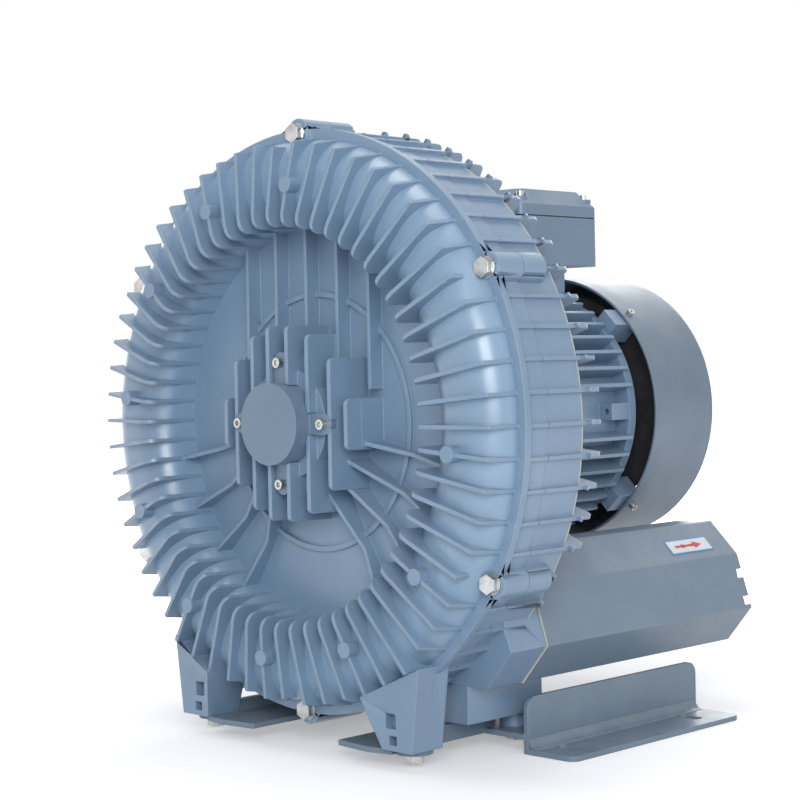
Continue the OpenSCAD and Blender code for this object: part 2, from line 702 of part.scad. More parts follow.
module rotor_core() color([0.45, 0.46, 0.48]) front_view() {
  tube(rotor_r, rotor_shaft_r + fit / 2, -stack_front - stack_len, -stack_front);
  for (f = [-stack_front - 1, -stack_front - stack_len - 8])
    tube(rotor_r - 3, rotor_r - 18, f, f + 9);
}

module cooling_fan() color([0.13, 0.13, 0.14]) front_view() difference() {
  union() {
    rod(fan_seat_r + 10, -fan_front - fan_w, -fan_front);
    rod(fan_r - 1, -fan_front - 4, -fan_front);
    for (i = [0 : fan_blades - 1]) rotate([0, 0, i * 360 / fan_blades])
      translate([fan_seat_r + 8, -1.2, -fan_front - fan_w]) cube([fan_r - fan_seat_r - 8, 2.4, fan_w]);
  }
  rod(fan_seat_r + fit, -fan_front - fan_w - 1, 1);
}

module fan_circlip() color([0.6, 0.6, 0.62]) front_view() difference() {
  tube(fan_seat_r + 4, fan_seat_r + fit, -fan_front - fan_w - 2, -fan_front - fan_w);
  translate([0, -2, -fan_front - fan_w - 3]) cube([30, 4, 4]);
}

module fan_cowl() color([0.46, 0.51, 0.57]) front_view() difference() {
  union() {
    tube(cowl_r, cowl_r - cowl_t, -cowl_back + 4, -cowl_front);
    rotate_extrude() difference() {
      translate([cowl_r - 8, -cowl_back + 8]) circle(8, $fn = 64);
      translate([cowl_r - 8, -cowl_back + 8]) circle(8 - cowl_t, $fn = 64);
      translate([cowl_r - 20, -cowl_back + 8]) square([30, 10]);
      translate([cowl_r - 20, -cowl_back - 1]) square([12, 20]);
    }
    rod(cowl_r - 7.9, -cowl_back, -cowl_back + cowl_t);
  }
  for (r = [24 : 16 : 72], q = [0 : 7]) rotate([0, 0, q * 45]) grille_slot(r);
  for (a = [45 : 90 : 315]) rotate([0, 0, a]) translate([cowl_r - 6, 0, -cowl_front - 8])
    rotate([0, 90, 0]) cylinder(h = 20, r = 2.8, $fn = 32);
}

// Curved air slot in the end of the cowl.
module grille_slot(r)
  translate([0, 0, -cowl_back - 1]) rotate([0, 0, 3 + 90 / r]) rotate_extrude(angle = 39 - 180 / r)
    translate([r, 0]) square([8, cowl_t + 2]);

module cowl_screws() color([0.75, 0.75, 0.76]) front_view()
  for (a = [45 : 90 : 315]) rotate([0, 0, a]) translate([cowl_r + 0.1, 0, -cowl_front - 8])
    rotate([0, 90, 0]) socket_screw(10, 4);

module box_outline(w, l, h, r = 7)
  linear_extrude(h) translate([r - w / 2, r - l / 2]) union() {
    for (x = [0, w - 2 * r], y = [0, l - 2 * r]) translate([x, y]) circle(r, $fn = 48);
    translate([-r, 0]) square([w, l - 2 * r]);
    translate([0, -r]) square([w - 2 * r, l]);
  }

// Places the children on the bottom of the terminal box, +Z up.
module at_box(z = 0)
  translate([0, box_front + box_l / 2 - joint_back, shaft_h + box_z + z]) children();

module lid_corners()
  for (x = [-1, 1], y = [-1, 1]) translate([x * (box_w / 2 - 9), y * (box_l / 2 - 9), 0]) children();

module terminal_box() color([0.44, 0.54, 0.63]) at_box() difference() {
  union() {
    difference() {
      box_outline(box_w, box_l, box_h);
      translate([0, 0, box_t]) box_outline(box_w - 2 * box_t, box_l - 2 * box_t, box_h);
    }
    lid_corners() cylinder(h = box_h, r = 6);
  }
  translate([0, 0, -1]) cylinder(h = box_t + 2, r = 13);
  lid_corners() translate([0, 0, box_h - 16]) cylinder(h = 17, r = 2 + fit);
  translate([-box_w / 2 - 1, 0, box_h / 2]) rotate([0, 90, 0]) cylinder(h = box_t + 2, r = gland_r);
}

module terminal_gasket() color([0.1, 0.1, 0.1]) at_box(box_h) difference() {
  box_outline(box_w - 1, box_l - 1, gasket_t);
  translate([0, 0, -1]) box_outline(box_w - 2 * box_t, box_l - 2 * box_t, gasket_t + 2);
  lid_corners() translate([0, 0, -1]) cylinder(h = 4, r = 2.6);
}

module terminal_lid() color([0.44, 0.54, 0.63]) at_box(box_h + gasket_t) difference() {
  union() {
    box_outline(box_w, box_l, lid_h * 0.4);
    hull() {
      translate([0, 0, lid_h * 0.4 - 1]) box_outline(box_w, box_l, 1);
      translate([0, 0, lid_h - 1]) box_outline(box_w - 22, box_l - 22, 1, 6);
    }
    lid_corners() cylinder(h = lid_h * 0.7, r = 6.5);
  }
  translate([0, 0, -1]) box_outline(box_w - 22, box_l - 22, lid_h - 3);
  lid_corners() translate([0, 0, -1]) cylinder(h = lid_h + 2, r = 2.6);
  lid_corners() translate([0, 0, lid_h * 0.7]) cylinder(h = lid_h, r = 5);
}

module lid_screws() color([0.8, 0.8, 0.82]) at_box(box_h + gasket_t + lid_h * 0.7)
  lid_corners() socket_screw(lid_h * 0.7 + 12, 4);

module terminal_block() color([0.14, 0.14, 0.15]) at_box(box_t) translate([0, -30, 0]) {
  translate([-34, -13, 0]) cube([68, 26, 16]);
  for (x = [-22, 0, 22], y = [-7, 7]) translate([x, y, 16 - eps]) cylinder(h = 9, r = 2.5, $fn = 24);
}

// Cable gland in the side wall away from the discharge silencer.
module cable_gland() color([0.12, 0.12, 0.13]) at_box(box_h / 2)
  translate([-box_w / 2, 0, 0]) rotate([0, -90, 0]) difference() {
    union() {
      cylinder(h = 6, r = 15, $fn = 6);
      cylinder(h = 18, r = 11);
      translate([0, 0, -box_t - 3]) cylinder(h = box_t + 4, r = gland_r - fit);
    }
    translate([0, 0, -box_t - 4]) cylinder(h = 30, r = 6);
  }

module port_gaskets() color([0.75, 0.73, 0.68]) front_view(-port_face - half_gasket)
  for (s = [-1, 1]) at_silencer(s) difference() {
    linear_extrude(gasket_t) silencer_outline(-1);
    cylinder(h = 10, r = port_r, center = true);
  }

module at_hose_screws()
  for (a = [45 : 90 : 315]) rotate([0, 0, a]) translate([hose_screw_r, 0, 0]) children();

// Sheet body of a silencer: eight-sided tube, front plate, and an end plate set into the rim.
module silencer(s) color([0.47, 0.52, 0.58]) front_view() at_silencer(s) difference() {
  union() {
    translate([0, 0, silencer_back]) linear_extrude(silencer_len) difference() {
      silencer_outline();
      silencer_outline(silencer_t);
    }
    for (f = [silencer_back + silencer_len - end_plate_t, hose_f])
      translate([0, 0, f]) linear_extrude(end_plate_t) silencer_outline(silencer_t / 2);
  }
  rod(port_r, silencer_back - 1, 1);
  at_hose_screws() rod(hose_screw_d / 2 + fit, hose_f - 1, hose_f + end_plate_t + 1);
  for (y = [8, -14]) translate([s * 45, y, silencer_back + 2]) cube([20, 7, 12], center = true);
}

module silencer_right() silencer(1);
module silencer_left() silencer(-1);

module silencer_liners() color([0.3, 0.3, 0.3]) front_view()
  for (s = [-1, 1]) at_silencer(s) difference() {
    translate([0, 0, hose_f + end_plate_t + 14])
      linear_extrude(silencer_len - rim_over - 2 * end_plate_t - 15)
        silencer_outline(silencer_t + liner_gap);
    rod(port_r + 3, silencer_back, 0);
  }

// Flange with a short neck for the hose, set into the rim of the silencer.
module hose_flange(s) color([0.44, 0.54, 0.63]) front_view() at_silencer(s) difference() {
  union() {
    rod(hose_flange_r, hose_f - hose_flange_t, hose_f);
    rod(hose_neck_r, hose_f - hose_flange_t - hose_neck_len, hose_f - 1);
  }
  rod(hose_bore_r, hose_f - hose_flange_t - hose_neck_len - 1, hose_f + 1);
  at_hose_screws() rod(hose_screw_d / 2 + 0.3, hose_f - hose_flange_t - 1, hose_f + 1);
}

module hose_flange_right() hose_flange(1);
module hose_flange_left() hose_flange(-1);

module hose_flange_screws() color([0.8, 0.8, 0.82]) front_view(hose_f - hose_flange_t)
  for (s = [-1, 1]) at_silencer(s) at_hose_screws() mirror([0, 0, 1])
    socket_screw(hose_flange_t + end_plate_t + 5, hose_screw_d);

// Plan of the tie plate of the +X foot: narrow in front, with tabs under the leg bolts.
module tie_plate_plan() {
  front_y = -leg_front_f + 4;
  polygon([[tie_in_x, front_y], [tie_out_x - 22, front_y - 4], [tie_out_x, front_y],
    [tie_out_x, foot_front - 1], [foot_web_x + 1, foot_front - 1],
    [foot_web_x + 1, foot_front + foot_len - 8], [tie_in_x + 30, foot_front + foot_len - 8],
    [tie_in_x, foot_front + 40]]);
  for (y = [-front_bolt_f, -rear_bolt_f]) translate([leg_bolt_x, y]) circle(14, $fn = 48);
}

module slot_2d() {
  square([slot_len - slot_w, slot_w], center = true);
  for (s = [-1, 1]) translate([s * (slot_len - slot_w) / 2, 0]) circle(slot_w / 2);
}

// One pressed and welded foot: tie plate, upright web and slotted floor flange.
module foot(s) color([0.44, 0.54, 0.63]) mirror([s < 0 ? 1 : 0, 0, 0])
  translate([0, -joint_back, 0]) difference() {
    union() {
      translate([0, 0, tie_z]) linear_extrude(foot_t) tie_plate_plan();
      translate([tie_out_x - foot_t, -leg_back_f + 2, tie_z])
        cube([foot_t, -rear_bolt_f - 14 + leg_back_f - 2, 13]);
      translate([foot_web_x, 0, 0]) rotate([90, 0, 90]) linear_extrude(foot_t) union() {
        translate([foot_front, foot_t]) square([foot_len, foot_h - foot_t - 10]);
        translate([foot_front + 10, foot_t]) square([foot_len - 20, foot_h - foot_t]);
        for (y = [foot_front + 10, foot_front + foot_len - 10])
          translate([y, foot_h - 10]) circle(10, $fn = 48);
      }
      translate([foot_web_x, foot_front, 0]) cube([foot_flange_w - 8, foot_len, foot_t]);
      translate([foot_web_x, foot_front + 8, 0]) cube([foot_flange_w, foot_len - 16, foot_t]);
      for (y = [foot_front + 8, foot_front + foot_len - 8])
        translate([foot_web_x + foot_flange_w - 8, y, 0]) cylinder(h = foot_t, r = 8, $fn = 48);
    }
    for (y = [-1, 1]) translate([slot_x, joint_back + y * slot_pitch / 2, -1])
      linear_extrude(foot_t + 2) slot_2d();
    for (y = [-front_bolt_f, -rear_bolt_f]) translate([leg_bolt_x, y, tie_z - 1])
      cylinder(h = foot_t + 2, r = bolt_hole / 2);
  }

module foot_right() foot(1);
module foot_left() foot(-1);

module at_foot_bolts()
  for (s = [-1, 1], f = [front_bolt_f, rear_bolt_f])
    translate([s * leg_bolt_x, -joint_back - f, tie_z]) children();

module foot_bolts() color([0.8, 0.8, 0.82]) at_foot_bolts()
  translate([0, 0, -washer_t]) rotate([180, 0, 0]) hex_bolt(18);

module foot_washers() color([0.8, 0.8, 0.82]) at_foot_bolts()
  translate([0, 0, -washer_t]) flat_washer(washer_r, bolt_hole / 2, washer_t);

front_cover();
rear_casing();
casing_gasket();
cover_bolts();
cover_washers();
bearing_cap();
cap_screws();
preload_spring();
bearing_outer_rings();
bearing_inner_rings();
bearing_ball_sets();
shaft();
impeller();
impeller_key();
impeller_nut();
shaft_seal();
motor_front_shield();
motor_frame();
motor_rear_shield();
motor_bolts();
shield_bolts();
stator_core();
stator_windings();
rotor_core();
cooling_fan();
fan_circlip();
fan_cowl();
cowl_screws();
terminal_box();
terminal_gasket();
terminal_lid();
lid_screws();
terminal_block();
cable_gland();
port_gaskets();
silencer_right();
silencer_left();
silencer_liners();
hose_flange_right();
hose_flange_left();
hose_flange_screws();
foot_right();
foot_left();
foot_bolts();
foot_washers();
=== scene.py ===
# Side-channel blower: paint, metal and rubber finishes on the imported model, the cover's ring
# and fins brought to the photograph, cast bosses, foot bends and the flow sign, on a pale floor.
import math

import bmesh
import bpy
from mathutils import Matrix, Vector
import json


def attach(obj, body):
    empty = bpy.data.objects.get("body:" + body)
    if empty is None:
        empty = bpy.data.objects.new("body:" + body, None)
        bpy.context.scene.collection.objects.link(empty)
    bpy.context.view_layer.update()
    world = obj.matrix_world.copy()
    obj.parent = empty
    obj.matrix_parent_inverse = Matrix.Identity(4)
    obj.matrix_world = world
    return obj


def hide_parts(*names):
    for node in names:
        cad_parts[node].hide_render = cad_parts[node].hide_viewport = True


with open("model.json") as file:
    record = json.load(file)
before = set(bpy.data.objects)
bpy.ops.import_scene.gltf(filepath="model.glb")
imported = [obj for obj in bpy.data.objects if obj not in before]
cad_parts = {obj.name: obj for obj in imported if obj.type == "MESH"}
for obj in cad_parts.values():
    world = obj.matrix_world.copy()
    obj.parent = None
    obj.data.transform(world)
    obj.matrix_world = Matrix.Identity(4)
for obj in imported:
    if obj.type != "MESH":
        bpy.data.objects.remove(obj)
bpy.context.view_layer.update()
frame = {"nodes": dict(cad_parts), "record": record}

MM = 0.001
FULL_TURN = 2 * math.pi
QUARTER_TURN = math.pi / 2

# The front view's origin is the shaft at the casing joint, and its angles turn about ANGLE_AXIS.
SHAFT = Vector((0.0, 0.0, 250 * MM))
JOINT_Y = -161 * MM
ANGLE_AXIS = Vector((0, -1, 0))


# Shader helpers.

def link(tree, source, target):
    tree.links.new(source, target)


def node(tree, kind, **settings):
    made = tree.nodes.new(kind)
    for name, value in settings.items():
        setattr(made, name, value)
    return made


def math_node(tree, operation, first, second):
    made = node(tree, "ShaderNodeMath", operation=operation)
    for socket, value in zip(made.inputs, (first, second)):
        if isinstance(value, (int, float)):
            socket.default_value = value
        else:
            link(tree, value, socket)
    return made.outputs[0]


def ramp(tree, value, low, high, to_low=0.0, to_high=1.0):
    made = node(tree, "ShaderNodeMapRange", clamp=True)
    link(tree, value, made.inputs["Value"])
    ends = (("From Min", low), ("From Max", high), ("To Min", to_low), ("To Max", to_high))
    for name, number in ends:
        made.inputs[name].default_value = number
    return made.outputs["Result"]


def noise(tree, vector, scale, detail=3.0, roughness=0.55):
    made = node(tree, "ShaderNodeTexNoise")
    link(tree, vector, made.inputs["Vector"])
    made.inputs["Scale"].default_value = scale
    made.inputs["Detail"].default_value = detail
    made.inputs["Roughness"].default_value = roughness
    return made.outputs["Fac"]


def new_group(name, inputs, outputs):
    group = bpy.data.node_groups.new(name, "ShaderNodeTree")
    for socket, kind, default in inputs:
        made = group.interface.new_socket(socket, in_out="INPUT", socket_type=kind)
        made.default_value = default
    for socket, kind in outputs:
        group.interface.new_socket(socket, in_out="OUTPUT", socket_type=kind)
    return group, group.nodes.new("NodeGroupInput"), group.nodes.new("NodeGroupOutput")


def cast_skin_group():
    """Orange-peel paint over a sand-cast skin: a height and a slow mottle."""
    tree, given, out = new_group(
        "Cast skin",
        [("Grain size", "NodeSocketFloat", 1.0)],
        [("Height", "NodeSocketFloat"), ("Mottle", "NodeSocketFloat")])
    fine_share, coarse_share, wave_share = 0.35, 0.65, 0.8
    place = node(tree, "ShaderNodeTexCoord")
    scaled = node(tree, "ShaderNodeVectorMath", operation="SCALE")
    link(tree, place.outputs["Object"], scaled.inputs[0])
    link(tree, given.outputs["Grain size"], scaled.inputs["Scale"])
    fine = noise(tree, scaled.outputs[0], scale=900.0, detail=2.0)
    coarse = noise(tree, scaled.outputs[0], scale=260.0, detail=2.0)
    wave = noise(tree, scaled.outputs[0], scale=60.0, detail=1.0)
    height = math_node(tree, "ADD", math_node(tree, "MULTIPLY", fine, fine_share),
                       math_node(tree, "MULTIPLY", coarse, coarse_share))
    height = math_node(tree, "ADD", height, math_node(tree, "MULTIPLY", wave, wave_share))
    link(tree, height, out.inputs["Height"])
    mottle = noise(tree, scaled.outputs[0], scale=14.0, detail=4.0, roughness=0.6)
    link(tree, ramp(tree, mottle, low=0.3, high=0.7), out.inputs["Mottle"])
    return tree


def soft_edge_group():
    """Rounded edge normals, and a mask of the edges for a painted highlight, broken up in patches."""
    tree, given, out = new_group(
        "Soft edges",
        [("Radius", "NodeSocketFloat", 0.001), ("Break up", "NodeSocketFloat", 0.5)],
        [("Normal", "NodeSocketVector"), ("Edge", "NodeSocketFloat")])
    rounded = node(tree, "ShaderNodeBevel", samples=6)
    link(tree, given.outputs["Radius"], rounded.inputs["Radius"])
    flat = node(tree, "ShaderNodeNewGeometry")
    facing = node(tree, "ShaderNodeVectorMath", operation="DOT_PRODUCT")
    link(tree, rounded.outputs["Normal"], facing.inputs[0])
    link(tree, flat.outputs["Normal"], facing.inputs[1])
    place = node(tree, "ShaderNodeTexCoord")
    cloudy = noise(tree, place.outputs["Object"], scale=180.0, detail=4.0, roughness=0.7)
    patches = ramp(tree, cloudy, low=0.35, high=0.65)
    lost = math_node(tree, "MULTIPLY", patches, given.outputs["Break up"])
    kept = math_node(tree, "SUBTRACT", 1.0, lost)
    # The edge mask: where the rounded normal turns from the flat one; the finishes lighten it as a painted
    # highlight.
    edge = ramp(tree, facing.outputs["Value"], low=0.995, high=0.86)
    link(tree, rounded.outputs["Normal"], out.inputs["Normal"])
    link(tree, math_node(tree, "MULTIPLY", edge, kept), out.inputs["Edge"])
    return tree


def settled_dust_group():
    """Pale dust on faces that look up, thicker in patches."""
    tree, given, out = new_group(
        "Settled dust",
        [("Amount", "NodeSocketFloat", 0.3)],
        [("Dust", "NodeSocketFloat")])
    flat = node(tree, "ShaderNodeNewGeometry")
    upward = node(tree, "ShaderNodeSeparateXYZ")
    link(tree, flat.outputs["Normal"], upward.inputs[0])
    place = node(tree, "ShaderNodeTexCoord")
    cloudy = noise(tree, place.outputs["Object"], scale=35.0, detail=5.0, roughness=0.65)
    patches = ramp(tree, cloudy, low=0.35, high=0.7)
    up = ramp(tree, upward.outputs["Z"], low=0.2, high=0.95)
    lying = math_node(tree, "MULTIPLY", up, patches)
    link(tree, math_node(tree, "MULTIPLY", lying, given.outputs["Amount"]), out.inputs["Dust"])
    return tree


CAST_SKIN = cast_skin_group()
SOFT_EDGES = soft_edge_group()
SETTLED_DUST = settled_dust_group()


def use_group(tree, group, **values):
    made = node(tree, "ShaderNodeGroup", node_tree=group)
    for name, value in values.items():
        made.inputs[name.replace("_", " ")].default_value = value
    return made


def mix_colour(tree, mask, first, second):
    made = node(tree, "ShaderNodeMix", data_type="RGBA")
    link(tree, mask, made.inputs["Factor"])
    for socket, value in ((made.inputs["A"], first), (made.inputs["B"], second)):
        if isinstance(value, tuple):
            socket.default_value = (*value, 1.0)
        else:
            link(tree, value, socket)
    return made.outputs["Result"]


def add_bump(tree, shader, height, normal, strength, distance):
    made = node(tree, "ShaderNodeBump")
    made.inputs["Strength"].default_value = strength
    made.inputs["Distance"].default_value = distance
    link(tree, height, made.inputs["Height"])
    link(tree, normal, made.inputs["Normal"])
    link(tree, made.outputs["Normal"], shader.inputs["Normal"])


def new_material(name):
    made = bpy.data.materials.new(name)
    made.use_nodes = True
    return made, made.node_tree, made.node_tree.nodes["Principled BSDF"]


DUST_COLOUR = (0.42, 0.44, 0.46)
DUST_ROUGHENS = 0.3
# How strongly the edges are lightened as a painted highlight, and how much of it is broken up.
PAINT_HIGHLIGHT_SHARE, PAINT_BREAK_UP = 0.6, 0.45
PAINT_SKIN_DEPTH = 0.25 * MM
COAT_ROUGHNESS = 0.3


def painted(name, colour, edge_highlight_colour, low_colour, rough=(0.32, 0.5), bump=0.25, radius=1.2 * MM,
            grain=1.0, dust=0.25, coat=0.12):
    """Sprayed paint: slow mottle, edges lightened as a painted highlight, a little dust, orange peel."""
    made, tree, shader = new_material(name)
    skin = use_group(tree, CAST_SKIN, Grain_size=grain)
    edges = use_group(tree, SOFT_EDGES, Radius=radius, Break_up=PAINT_BREAK_UP)
    settled = use_group(tree, SETTLED_DUST, Amount=dust)
    base = mix_colour(tree, skin.outputs["Mottle"], low_colour, colour)
    # Painted highlight: the edges are lightened towards the edge colour.
    edge_highlight_mask = math_node(tree, "MULTIPLY", edges.outputs["Edge"], PAINT_HIGHLIGHT_SHARE)
    edge_highlit = mix_colour(tree, edge_highlight_mask, base, edge_highlight_colour)
    dusty = mix_colour(tree, settled.outputs["Dust"], edge_highlit, DUST_COLOUR)
    link(tree, dusty, shader.inputs["Base Color"])
    roughness = ramp(tree, skin.outputs["Mottle"], 0.0, 1.0, to_low=rough[1], to_high=rough[0])
    duller = math_node(tree, "MULTIPLY", settled.outputs["Dust"], DUST_ROUGHENS)
    link(tree, math_node(tree, "ADD", roughness, duller), shader.inputs["Roughness"])
    shader.inputs["Coat Weight"].default_value = coat
    shader.inputs["Coat Roughness"].default_value = COAT_ROUGHNESS
    add_bump(tree, shader, skin.outputs["Height"], edges.outputs["Normal"], bump, PAINT_SKIN_DEPTH)
    return made


# How strongly metal edges are lightened as a painted highlight, how much brighter, and how much is broken
# up.
METAL_HIGHLIGHT_SHARE, METAL_HIGHLIGHT_GAIN, METAL_BREAK_UP = 0.5, 1.25, 0.3
METAL_EDGE_R, METAL_SCRATCH_DEPTH = 0.4 * MM, 0.05 * MM


def bare_metal(name, colour, dark, rough=(0.22, 0.42), streak=(1, 1, 1), bump=0.1):
    """Machined, rolled or plated metal with streaks along one direction."""
    made, tree, shader = new_material(name)
    place = node(tree, "ShaderNodeTexCoord")
    stretched = node(tree, "ShaderNodeMapping")
    stretched.inputs["Scale"].default_value = streak
    link(tree, place.outputs["Object"], stretched.inputs["Vector"])
    lines = noise(tree, stretched.outputs["Vector"], scale=700.0)
    clouds = noise(tree, place.outputs["Object"], scale=90.0, detail=4.0, roughness=0.65)
    edges = use_group(tree, SOFT_EDGES, Radius=METAL_EDGE_R, Break_up=METAL_BREAK_UP)
    tone = mix_colour(tree, ramp(tree, clouds, low=0.35, high=0.65), dark, colour)
    # Painted highlight: the edges are lightened towards a brighter copy of the colour.
    bright = tuple(min(1.0, channel * METAL_HIGHLIGHT_GAIN) for channel in colour)
    edge_highlight_mask = math_node(tree, "MULTIPLY", edges.outputs["Edge"], METAL_HIGHLIGHT_SHARE)
    link(tree, mix_colour(tree, edge_highlight_mask, tone, bright), shader.inputs["Base Color"])
    shader.inputs["Metallic"].default_value = 1.0
    roughness = ramp(tree, lines, low=0.3, high=0.7, to_low=rough[0], to_high=rough[1])
    link(tree, roughness, shader.inputs["Roughness"])
    add_bump(tree, shader, lines, edges.outputs["Normal"], bump, METAL_SCRATCH_DEPTH)
    return made


MOULD_HIGHLIGHT_SHARE, MOULD_BREAK_UP = 0.4, 0.4
MOULD_EDGE_R, MOULD_GRAIN_DEPTH = 0.6 * MM, 0.1 * MM


def moulded(name, colour, light, rough=(0.45, 0.65), scale=1200.0, bump=0.2):
    """Plastic, rubber, fibre or foam with a fine grain."""
    made, tree, shader = new_material(name)
    place = node(tree, "ShaderNodeTexCoord")
    grain = noise(tree, place.outputs["Object"], scale, detail=2.0)
    clouds = noise(tree, place.outputs["Object"], scale=60.0, detail=4.0)
    edges = use_group(tree, SOFT_EDGES, Radius=MOULD_EDGE_R, Break_up=MOULD_BREAK_UP)
    tone = mix_colour(tree, ramp(tree, clouds, low=0.3, high=0.7, to_high=0.6), colour, light)
    # Painted highlight: the edges are lightened towards the light colour.
    edge_highlight_mask = math_node(tree, "MULTIPLY", edges.outputs["Edge"], MOULD_HIGHLIGHT_SHARE)
    link(tree, mix_colour(tree, edge_highlight_mask, tone, light), shader.inputs["Base Color"])
    roughness = ramp(tree, grain, low=0.3, high=0.7, to_low=rough[0], to_high=rough[1])
    link(tree, roughness, shader.inputs["Roughness"])
    add_bump(tree, shader, grain, edges.outputs["Normal"], bump, MOULD_GRAIN_DEPTH)
    return made


# Finishes: name, colour, colour of the painted edge highlight, colour in the mottle's low patches.

CASTING = painted("Casting paint", (0.194, 0.292, 0.415), (0.35, 0.46, 0.58), (0.166, 0.256, 0.372),
                  coat=0.5)
# Painted shade: the casting paint made darker for the flat bearing cap and terminal box.
SHADED_CAP_PAINT = painted("Cap paint with painted shade", (0.146, 0.218, 0.308), (0.30, 0.40, 0.51), (0.128, 0.195, 0.278), coat=0.3)
# Painted light: the casting paint made lighter for the channel's ring between the fins; its stronger coat
# gives the gloss.
LIT_CHANNEL_PAINT = painted("Channel paint with painted light", (0.225, 0.338, 0.475), (0.36, 0.47, 0.58), (0.196, 0.300, 0.430),
                rough=(0.26, 0.4), bump=0.14, coat=0.7)
SHEET = painted("Sheet paint", (0.146, 0.200, 0.264), (0.30, 0.37, 0.45), (0.129, 0.179, 0.238),
                rough=(0.38, 0.52), bump=0.12, grain=1.4, radius=1.5 * MM, dust=0.2)
SILENCER = painted("Silencer paint", (0.166, 0.228, 0.300), (0.28, 0.35, 0.43), (0.148, 0.204, 0.270),
                   rough=(0.34, 0.48), bump=0.10, grain=1.4, radius=3.5 * MM, dust=0.2)
FOOT = painted("Foot paint", (0.165, 0.225, 0.295), (0.30, 0.37, 0.44), (0.14, 0.195, 0.26),
               rough=(0.36, 0.5), bump=0.14, grain=1.2, dust=0.3)

# Metals: name, colour, colour of the dark clouds.
ZINC = bare_metal("Zinc plate", (0.62, 0.63, 0.62), (0.42, 0.43, 0.42))
STEEL = bare_metal("Ground steel", (0.60, 0.61, 0.62), (0.48, 0.48, 0.49), rough=(0.15, 0.3),
                   streak=(1, 0.1, 1))
ALUMINIUM = bare_metal("Cast aluminium", (0.66, 0.67, 0.68), (0.50, 0.51, 0.52), rough=(0.35, 0.55),
                       bump=0.4)
LAMINATIONS = bare_metal("Laminations", (0.20, 0.20, 0.21), (0.12, 0.12, 0.13), rough=(0.4, 0.6),
                         streak=(0.05, 6.0, 0.05), bump=0.5)
COPPER = bare_metal("Varnished copper", (0.50, 0.21, 0.08), (0.34, 0.13, 0.05), rough=(0.25, 0.4),
                    bump=0.5)

# Soft and moulded stuff: name, colour, colour of the light clouds and of the painted edge highlight.
BLACK_PLASTIC = moulded("Black plastic", (0.018, 0.018, 0.020), (0.045, 0.045, 0.048))
BLACK_RUBBER = moulded("Black rubber", (0.016, 0.016, 0.016), (0.04, 0.04, 0.04), rough=(0.6, 0.8))
GASKET = moulded("Gasket fibre", (0.42, 0.42, 0.37), (0.60, 0.58, 0.50), rough=(0.75, 0.9), scale=1800.0)
FOAM = moulded("Absorber foam", (0.03, 0.03, 0.032), (0.07, 0.07, 0.07), rough=(0.85, 1.0), scale=500.0,
               bump=1.0)
SIGN_BLUE = moulded("Sign blue", (0.045, 0.20, 0.42), (0.08, 0.27, 0.50), rough=(0.3, 0.42), bump=0.05)
SIGN_WHITE = moulded("Sign white", (0.62, 0.66, 0.68), (0.74, 0.77, 0.78), rough=(0.3, 0.42), bump=0.05)
SIGN_RED = moulded("Sign red", (0.48, 0.03, 0.035), (0.60, 0.06, 0.06), rough=(0.3, 0.42), bump=0.05)

SLOT_FINISH = {
    "casting_paint": CASTING, "sheet_paint": SHEET, "zinc_steel": ZINC, "bright_steel": STEEL,
    "cast_aluminium": ALUMINIUM, "lamination_steel": LAMINATIONS, "copper_winding": COPPER,
    "black_plastic": BLACK_PLASTIC, "black_rubber": BLACK_RUBBER, "pale_gasket": GASKET,
    "absorber_foam": FOAM}

# Nodes whose finish isn't their slot's: the gasket's edge is painted over with the casing, and the bearing
# cap and terminal box take a darker copy of the casting paint as painted shade.
NODE_FINISH = {
    "foot_right": FOOT, "foot_left": FOOT, "silencer_right": SILENCER, "silencer_left": SILENCER,
    "casing_gasket": CASTING, "bearing_cap": SHADED_CAP_PAINT, "terminal_box": SHADED_CAP_PAINT, "terminal_lid": SHADED_CAP_PAINT}


def finish_nodes():
    for part in frame["record"]["subparts"]:
        held = frame["nodes"][part["node"]].data.materials
        held.clear()
        held.append(NODE_FINISH.get(part["node"], SLOT_FINISH[part["material_slot"]]))


# Shapes. Lengths are in mm, angles of the front view in degrees.

SHARP_ANGLE = math.radians(35)
MERGE = 0.001 * MM
CAD_MERGE = 0.002 * MM


def at(x, y, f):
    """A point of the front view: x right, y up from the shaft, f forward of the casing joint."""
    return Vector((x * MM, JOINT_Y - f * MM, SHAFT.z + y * MM))


def polar(radius, angle, f):
    turn = math.radians(angle)
    return at(radius * math.cos(turn), radius * math.sin(turn), f)


def new_piece(name, form, finish, smooth=True):
    mesh = bpy.data.meshes.new(name)
    bmesh.ops.recalc_face_normals(form, faces=form.faces)
    form.to_mesh(mesh)
    form.free()
    # A merged copy of a CAD mesh brings the normals of its loose triangles along.
    if "custom_normal" in mesh.attributes:
        mesh.attributes.remove(mesh.attributes["custom_normal"])
    if smooth:
        mesh.shade_smooth()
        mesh.set_sharp_from_angle(angle=SHARP_ANGLE)
    made = bpy.data.objects.new(name, mesh)
    bpy.context.scene.collection.objects.link(made)
    mesh.materials.append(finish)
    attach(made, "housing")
    return made


def everything(form):
    return form.faces[:] + form.edges[:] + form.verts[:]


def turned(form, start, axis, profile, steps):
    """Spin profile, a list of (distance along axis, radius) from axis to axis, round the axis."""
    side = axis.orthogonal().normalized()
    line = [form.verts.new(start + (axis * along + side * radius) * MM) for along, radius in profile]
    edges = [form.edges.new(pair) for pair in zip(line, line[1:])]
    bmesh.ops.spin(form, geom=line + edges, cent=start, axis=axis, angle=FULL_TURN, steps=steps,
                   use_merge=True)
    bmesh.ops.remove_doubles(form, verts=form.verts, dist=MERGE)


